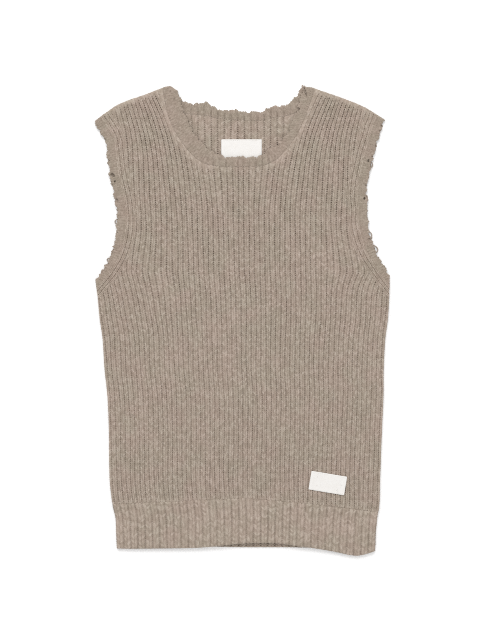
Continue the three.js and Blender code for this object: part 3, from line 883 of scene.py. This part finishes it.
# The front's hem band.
# Coarser rib in the same wool, 36 ribs across, knitted on below the panel. Its lower edge is
# drawn up a little in the middle.
hem_valley, hem_crest = 1.0, 3.6
x, y, columns, rows = hem_grid("front")
filled = 0.3 * smooth(beside(hem_seam, x, y), -5, -1)
rise = stitched(columns, rows, hem_valley, hem_crest, seed=9, filled=filled, drawn=0.42)
# Nearly the full painted shade in the hem's valleys.
knit = (columns, rows / 2, 0.95 * sunk(rise, hem_valley, hem_crest))
front_hem = piece(
    "front_hem_knit",
    [shell(x, y, rise, knit, inside_hem("front", 0), inside_level, folds=True)],
    ribbed_wool,
)
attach(front_hem, "root")
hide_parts("front_hem_rib")

# The neck band.
# A narrow strip of the same wool, picked up round the neck and knitted plain, then worn until
# its edge is ragged. It goes over the shoulders from the front to the back.
band_section = table("share thick", (0, 1.0), (0.25, 2.1), (0.7, 2.7), (0.94, 3.2), (1, 2.5))

# Torn holes in the bands' front layers, and dents where they are drawn in, each turned.
holes = table(
    "x y long wide degrees",
    (-174, 195, 7, 4.2, -40), (-168.5, 160.5, 5.6, 4.2, -75), (77.5, 284.5, 5, 4.4, 20),
    (-171, 186.5, 3.2, 2.2, 80), (172.8, 214.6, 3.2, 2.4, 60), (167.4, 163.4, 3.6, 2.6, 80),
    (86.5, 310, 15, 2.6, -72),
)
dents = table("x y long wide degrees", (-95.9, 307.8, 3.6, 2.6, 70), (-90.5, 297.5, 7, 2.6, 88))


def turned_in(x, y, at_x, at_y, degrees):
    """How far points lie along and across a turned mark, from its middle."""
    turn = math.radians(degrees)
    along = (x - at_x) * math.cos(turn) + (y - at_y) * math.sin(turn)
    across = (y - at_y) * math.cos(turn) - (x - at_x) * math.sin(turn)
    return along, across


def outside(torn, x, y):
    """How far points lie outside the torn places of a table."""
    found = np.full(x.shape, float(far))
    for at_x, at_y, long, wide, degrees in zip(*torn.values()):
        along, across = turned_in(x, y, at_x, at_y, degrees)
        found = np.minimum(found, (np.hypot(along * 2 / long, across * 2 / wide) - 1) * wide / 2)
    return found


def ragged(run, seed):
    """How far in the worn edge lies, along its length: a few waves and some torn notches."""
    rng = np.random.default_rng(seed)
    depth = np.zeros_like(run)
    for length, high in ((31, 0.8), (14, 0.75), (7.1, 0.5), (3.6, 0.35)):
        depth += high * np.sin(2 * np.pi * run / length + rng.uniform(0, 6.28))
        depth += 0.4 * high * np.sin(2 * np.pi * run / (0.77 * length) + rng.uniform(0, 6.28))
    for at in rng.uniform(0, run[-1], int(run[-1] / 26)):
        depth += rng.uniform(0.8, 2.2) * np.exp(-(((run - at) / rng.uniform(0.9, 2.2)) ** 2))
    return depth


# A plain stitch is as wide as a wale and as high as a course.
wale = 3.3
plain_course = 2.6
rows_across = 19


def band_layer(edge, seam, level, seed, folds, thinner=0, worn=0, ribs=None):
    """One layer of a plain band between its worn edge and its seam.

    thinner is how much it lacks of the usual thickness, and worn how much of its edge has gone.
    ribs are the panel's, where they still show in the band: the places of their crests, how far
    out from the middle they show, and how deep.
    """
    run = np.append(0, np.cumsum(np.hypot(*np.diff(edge, axis=0).T)))
    width = np.hypot(*(seam - edge).T)
    share = np.linspace(0, 1, rows_across)[None, :]
    start = ((ragged(run, seed) + worn) / width)[:, None]
    seam_share = 1 + lap / width[:, None]
    place = start * (1 - share) ** 2 + share * seam_share
    x = edge[:, :1] + (seam - edge)[:, :1] * place
    y = edge[:, 1:] + (seam - edge)[:, 1:] * place
    column = run[:, None] / wale + 0 * share
    row = share * width[:, None] / plain_course
    thick = np.interp(share, band_section["share"], band_section["thick"]) - thinner + 0 * column
    leg = abs(column - np.round(column))
    lump = 0.2 * np.cos(2 * np.pi * (row - 0.8 * leg)) + 0.9 * (0.25 - leg)
    curl = 0.35 * np.exp(-((share - 0.12) / 0.08) ** 2) * (1 + np.sin(run / 7 + seed))[:, None]
    rise = thick + lump * smooth(share, 0, 0.1) + curl + 0.2 * speckle(seed, column * 4, row * 2)
    if ribs:
        crests, reach, depth = ribs
        rib = np.interp(x, crests, np.arange(len(crests)))
        groove = smooth(abs(rib - np.round(rib)), 0.22, 0.5) * smooth(share, 0, 0.6)
        rise = rise - depth * groove * (1 - smooth(abs(x), 0.7 * reach, reach))
    if folds:
        rise = rise - 1.1 * (1 - smooth(outside(dents, x, y), -1.2, 0.6))
    # Where the band lies lower, in its grooves and dents, its colour gets painted shade.
    knit = (column, row, sunk(rise, thick - 1.4, thick + 0.2))

    def inside(x, y):
        tucked = 0 if folds else tuck * smooth(abs(x), 80, 90)
        within = outline(x, y) - tucked
        return np.minimum(within, outside(holes, x, y)) if folds else within

    return shell(x, y, rise, knit, inside, level, edge=0.7, rounded=0.9, folds=folds, block=2)


def flat_level(x, y):
    """The outer face of the back's layer, just clear of the surface."""
    return np.full_like(x, 0.2)


plain_wool = wool("marled_wool_plain", "#7c6f63", "#978a7e", "#b5a89d", 0.25, 0.4)
front_edge = neck_line(neck_front, "edge", 600)
front_line = neck_line(neck_front, "seam", 600)
back_edge = neck_line(neck_back, "edge", 440)
back_line = neck_line(neck_back, "seam", 440)


def line_mesh(*lines):
    """A mesh of bare edges along lines of points, in metres."""
    before = np.cumsum([0] + [len(line) for line in lines])
    steps = [np.arange(len(line) - 1) + start for line, start in zip(lines, before)]
    steps = np.concatenate(steps)
    mesh = bpy.data.meshes.new("line")
    mesh.from_pydata(np.vstack(lines) * MM, np.column_stack([steps, steps + 1]), [])
    return mesh


# Stitches at even steps along a line, each a small lengthened bead of yarn.
stitch_tree, add, given = node_group(
    "stitches_along_a_line", {"Line": "Geometry", "Pitch": "Float", "Long": "Float",
                              "Wide": "Float", "Slant": "Float", "Yarn": "Material"}, "Stitches")
line = add("GeometryNodeMeshToCurve", {"Mesh": given["Line"]})
places = add("GeometryNodeCurveToPoints", {"Curve": line, "Length": given["Pitch"]}, mode="LENGTH")
bead = add("GeometryNodeMeshUVSphere", {"Segments": 6, "Rings": 5, "Radius": 0.5})
size = add("ShaderNodeCombineXYZ", {"X": given["Wide"], "Y": given["Wide"], "Z": given["Long"]})
beads = add("GeometryNodeInstanceOnPoints",
            {"Points": places, "Instance": bead, "Rotation": places.outputs["Rotation"],
             "Scale": size})
slant = add("ShaderNodeCombineXYZ", {"Y": given["Slant"]})
slanted = add("GeometryNodeRotateInstances", {"Instances": beads, "Rotation": slant})
finish_group(add, slanted, given["Yarn"])
linking_yarn = thread("linking_yarn", "#85786c", "#a89b8f", 0.2)


def linked(name, *lines):
    """The stitches that link a band to its panel."""
    made = grown(name, line_mesh(*lines), stitch_tree,
                 {"Pitch": 3 * MM, "Long": 2.6 * MM, "Wide": 1.0 * MM, "Slant": 0.6,
                  "Yarn": linking_yarn})
    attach(made, "root")
    return made


def lain(line, level, height):
    """A line of places raised to a height over the cloth's other face."""
    return np.column_stack([line, level(line[:, 0], line[:, 1]) + height])


neck_band = piece(
    "neck_band_knit",
    [
        band_layer(front_edge, front_line, inside_level, seed=21, folds=True,
                   ribs=(rib_x(np.arange(-12, 13), 208.0), 54, 0.8)),
        band_layer(back_edge, back_line, flat_level, seed=22, folds=False, thinner=0.5,
                   ribs=(back_rib_pitch * np.arange(-12, 13), 82, 1.1)),
    ],
    plain_wool,
)
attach(neck_band, "root")
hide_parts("neck_band")
neck_linking = linked(
    "neck_linking_stitches",
    lain(front_line[outline(*front_line.T) > 2], inside_level, 2.5),
    lain(back_line[outline(*back_line.T) > 5], flat_level, 2.1),
)

# The armhole bands.
# The same plain strip round each armhole, as ragged at its edge, with a few torn stitches. The
# front's and the back's layers meet in a fold at the shoulder and under the arm.
yarn_tree, add, given = node_group(
    "yarn_along_a_line", {"Line": "Geometry", "Radius": "Float", "Yarn": "Material"}, "Yarn")
line = add("GeometryNodeMeshToCurve", {"Mesh": given["Line"]})
round_section = add("GeometryNodeCurvePrimitiveCircle",
                    {"Resolution": 6, "Radius": given["Radius"]})
yarn = add("GeometryNodeCurveToMesh",
           {"Curve": line, "Profile Curve": round_section, "Fill Caps": True})
finish_group(add, yarn, given["Yarn"])

# Torn loops of yarn that stand out of the worn edges, by the points that they go through.
torn_loops = {
    "left": (
        [(-167.5, 135.5, 2.8), (-170.6, 133.5, 2.2), (-170.8, 130.5, 2), (-167.5, 128.5, 2.8)],
        [(-176.5, 83, 2.8), (-181.2, 81.6, 2.2), (-181.4, 79, 2), (-178, 77, 2.6)],
    ),
    "right": (
        [(178, 101, 2.8), (183.4, 98, 2.2), (185.8, 94.3, 1.8), (183.8, 90, 2.2), (180, 89.5, 2.8)],
        [(173, 118.5, 2.8), (176.9, 116, 2), (177.3, 111.6, 2.2), (174.5, 109, 2.8)],
        [(172, 215, 2.8), (177.4, 212.4, 2.2), (178.6, 207.5, 2), (174, 203.5, 2.8)],
    ),
}
for side, wearer, half, seed in (
    ("left", "right", front_right, 31),
    ("right", "left", front_left, 41),
):
    worn, inward, kept = armhole_line(side, 460)
    seam = worn + inward * (arm_band_width * kept + seam_gap)[:, None]
    arm_band = piece(
        f"armhole_band_knit_wearer_{wearer}",
        [
            band_layer(worn, seam, inside_level, seed, folds=True, worn=0.7),
            band_layer(worn, seam, flat_level, seed + 1, folds=False, thinner=0.2, worn=0.9),
        ],
        plain_wool,
    )
    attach(arm_band, "root")
    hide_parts(f"armhole_band_wearer_{wearer}")
    linking = linked(f"armhole_linking_stitches_wearer_{wearer}",
                     lain(seam[outline(*seam.T) > 2], inside_level, 2.0))
    loops = []
    for points in torn_loops[side]:
        points = np.array(points, float)
        flat = curve(points[:, 0], points[:, 1], 24)
        height = curve(points[:, 2], points[:, 2], 24)[:, :1]
        loops.append(np.hstack([flat, height]))
    torn = grown(f"torn_loops_wearer_{wearer}", line_mesh(*loops), yarn_tree,
                 {"Radius": 0.75 * MM, "Yarn": linking_yarn})
    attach(torn, "root")

# The labels.
# Bare white woven tape, satin and a little stiff, cut to length and sewn down on the front and
# inside the back of the neck.


def woven_tape(name):
    """White polyester satin tape: close threads that catch the light a little along the tape."""
    made, add, finish = new_material(name)
    place = add("ShaderNodeUVMap", uv_map="knit")
    warp = add("ShaderNodeTexWave", {"Vector": place, "Scale": 1.6, "Distortion": 0.6},
               bands_direction="X")
    weft = add("ShaderNodeTexWave", {"Vector": place, "Scale": 1.1, "Distortion": 0.6},
               bands_direction="Y")
    both = add("ShaderNodeMix", {0: 0.5, 2: warp.outputs["Fac"], 3: weft.outputs["Fac"]})
    woven = add("ShaderNodeMix", {0: both, 6: linear("#d3d0cc"), 7: linear("#e6e4e1")},
                data_type="RGBA")
    soil = add("ShaderNodeTexNoise", {"Vector": place, "Scale": 0.12, "Detail": 3.0})
    dull = add("ShaderNodeMapRange", {0: soil.outputs["Fac"], 1: 0.4, 2: 0.8, 3: 0.0, 4: 0.35})
    colour = add("ShaderNodeMix", {0: dull, 6: woven.outputs[2], 7: linear("#d6d1ca")},
                 data_type="RGBA")
    bump = add("ShaderNodeBump", {"Strength": 0.4, "Distance": 0.1 * MM, "Height": both})
    finish({"Base Color": colour.outputs[2], "Normal": bump, "Roughness": 0.55,
            "Sheen Weight": 0.1})
    return made


def turned_out(along, across, at_x, at_y, degrees):
    """Where places along and across a turned label are."""
    turn = math.radians(degrees)
    x = at_x + along * math.cos(turn) - across * math.sin(turn)
    y = at_y + along * math.sin(turn) + across * math.cos(turn)
    return x, y


corner_radius = 0.9
tape_columns, tape_rows = 69, 36
doubled_end = 4.6
doubled_thick = 0.28


def tape(at_x, at_y, long, wide, degrees, under, thick):
    """A label on the cloth under it, with its two ends folded under and its corners rounded."""
    over, up = np.meshgrid(np.linspace(-long / 2, long / 2, tape_columns),
                           np.linspace(-wide / 2, wide / 2, tape_rows))
    x, y = turned_out(over, up, at_x, at_y, degrees)
    from_end = long / 2 - abs(over)
    doubled = doubled_thick * (1 - smooth(from_end, doubled_end, doubled_end + 0.6))
    rippled = 0.12 * np.sin(over / 5.5 + 0.7) + 0.08 * np.sin(over / 2.7 + up / 9)

    def inside(x, y):
        along, across = turned_in(x, y, at_x, at_y, degrees)
        gap_x = np.maximum(abs(along) - long / 2 + corner_radius, 0)
        gap_y = np.maximum(abs(across) - wide / 2 + corner_radius, 0)
        nearer = np.minimum(long / 2 - abs(along), wide / 2 - abs(across))
        at_corner = (gap_x > 0) & (gap_y > 0)
        return np.where(at_corner, corner_radius - np.hypot(gap_x, gap_y), nearer)

    rise = thick + doubled + rippled
    return shell(x, y, rise, (over, up, 0 * over), inside, under, edge=0.5, rounded=0.6)


white_tape = woven_tape("woven_satin_tape")
sewing_thread = thread("white_sewing_thread", "#d3d0cb", "#f0eeea", 0.0)
sewing_inset = 1.4


def over_front(x, y):
    """Just over the crests of the front's ribs."""
    return inside_level(x, y) + front_crest + 0.25


def over_back(x, y):
    """Just over the crests of the back's ribs."""
    return np.full_like(x, back_thick + 0.35)


for name, at_x, at_y, long, wide, degrees, over, thick, under in (
    ("front_label", 117.6, -222.4, 49, 25.6, -9.5, over_front, 0.55, "front_panel_wearer_left"),
    ("neck_label", 0.7, 230.2, 55, 27, 0, over_back, 0.5, "back_panel_knit"),
):
    label = piece(f"{name}_tape", [tape(at_x, at_y, long, wide, degrees, over, thick)], white_tape)
    end, side = long / 2 - sewing_inset, wide / 2 - sewing_inset
    corners = np.array([(-end, -side), (end, -side), (end, side), (-end, side), (-end, -side)])
    runs = [np.linspace(start, stop, 13)[:-1] for start, stop in zip(corners[:-1], corners[1:])]
    path = np.vstack(runs + [corners[:1]])
    path = np.column_stack(turned_out(*path.T, at_x, at_y, degrees))
    sewn = grown(f"{name}_sewing", line_mesh(lain(path, over, thick + 0.12)), stitch_tree,
                 {"Pitch": 2.6 * MM, "Long": 1.8 * MM, "Wide": 0.4 * MM, "Slant": 0.0,
                  "Yarn": sewing_thread})
    for made in (label, sewn):
        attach(made, "root")
    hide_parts(name)

# The surface, the light and the camera.
# A plain white surface, under soft light from all round and a large soft light from beyond the
# neck. The camera looks straight down.
floor_half = 4
floor_mesh = bpy.data.meshes.new("surface")
corners = [(x * floor_half, y * floor_half, 0) for x, y in ((-1, -1), (1, -1), (1, 1), (-1, 1))]
floor_mesh.from_pydata(corners, [], [(0, 1, 2, 3)])
paper, add, finish = new_material("matt_white_paper")
grain = add("ShaderNodeTexNoise", {"Scale": 900.0, "Detail": 2.0})
fleck = add("ShaderNodeMix", {0: grain.outputs["Fac"], 6: linear("#f6f6f6"), 7: linear("#f9f9f9")},
            data_type="RGBA")
finish({"Base Color": fleck.outputs[2], "Roughness": 0.9, "Specular IOR Level": 0.1})
floor_mesh.materials.append(paper)
placed("surface", floor_mesh)

sky = bpy.data.worlds.new("soft_daylight")
sky.use_nodes = True
feed(sky.node_tree, sky.node_tree.nodes["Background"], {"Color": (1, 1, 1, 1), "Strength": 1.0})
scene.world = sky
key = bpy.data.lights.new("softbox", "AREA")
key.shape = "RECTANGLE"
key.size = 2.8
key.size_y = 1.8
key.energy = 68
softbox = placed("softbox", key)
softbox.location = (-0.5, 2.6, 3.0)
softbox.rotation_euler = (-softbox.location).to_track_quat("-Z", "Y").to_euler()

camera = placed("camera", bpy.data.cameras.new("camera"))
camera.data.lens = 100
camera.location = (-1.35 * MM, -1.5 * MM, 2416 * MM)
scene.camera = camera
scene.view_settings.view_transform = "Standard"
scene.cycles.filter_width = 1.0
scene.cycles.use_denoising = False
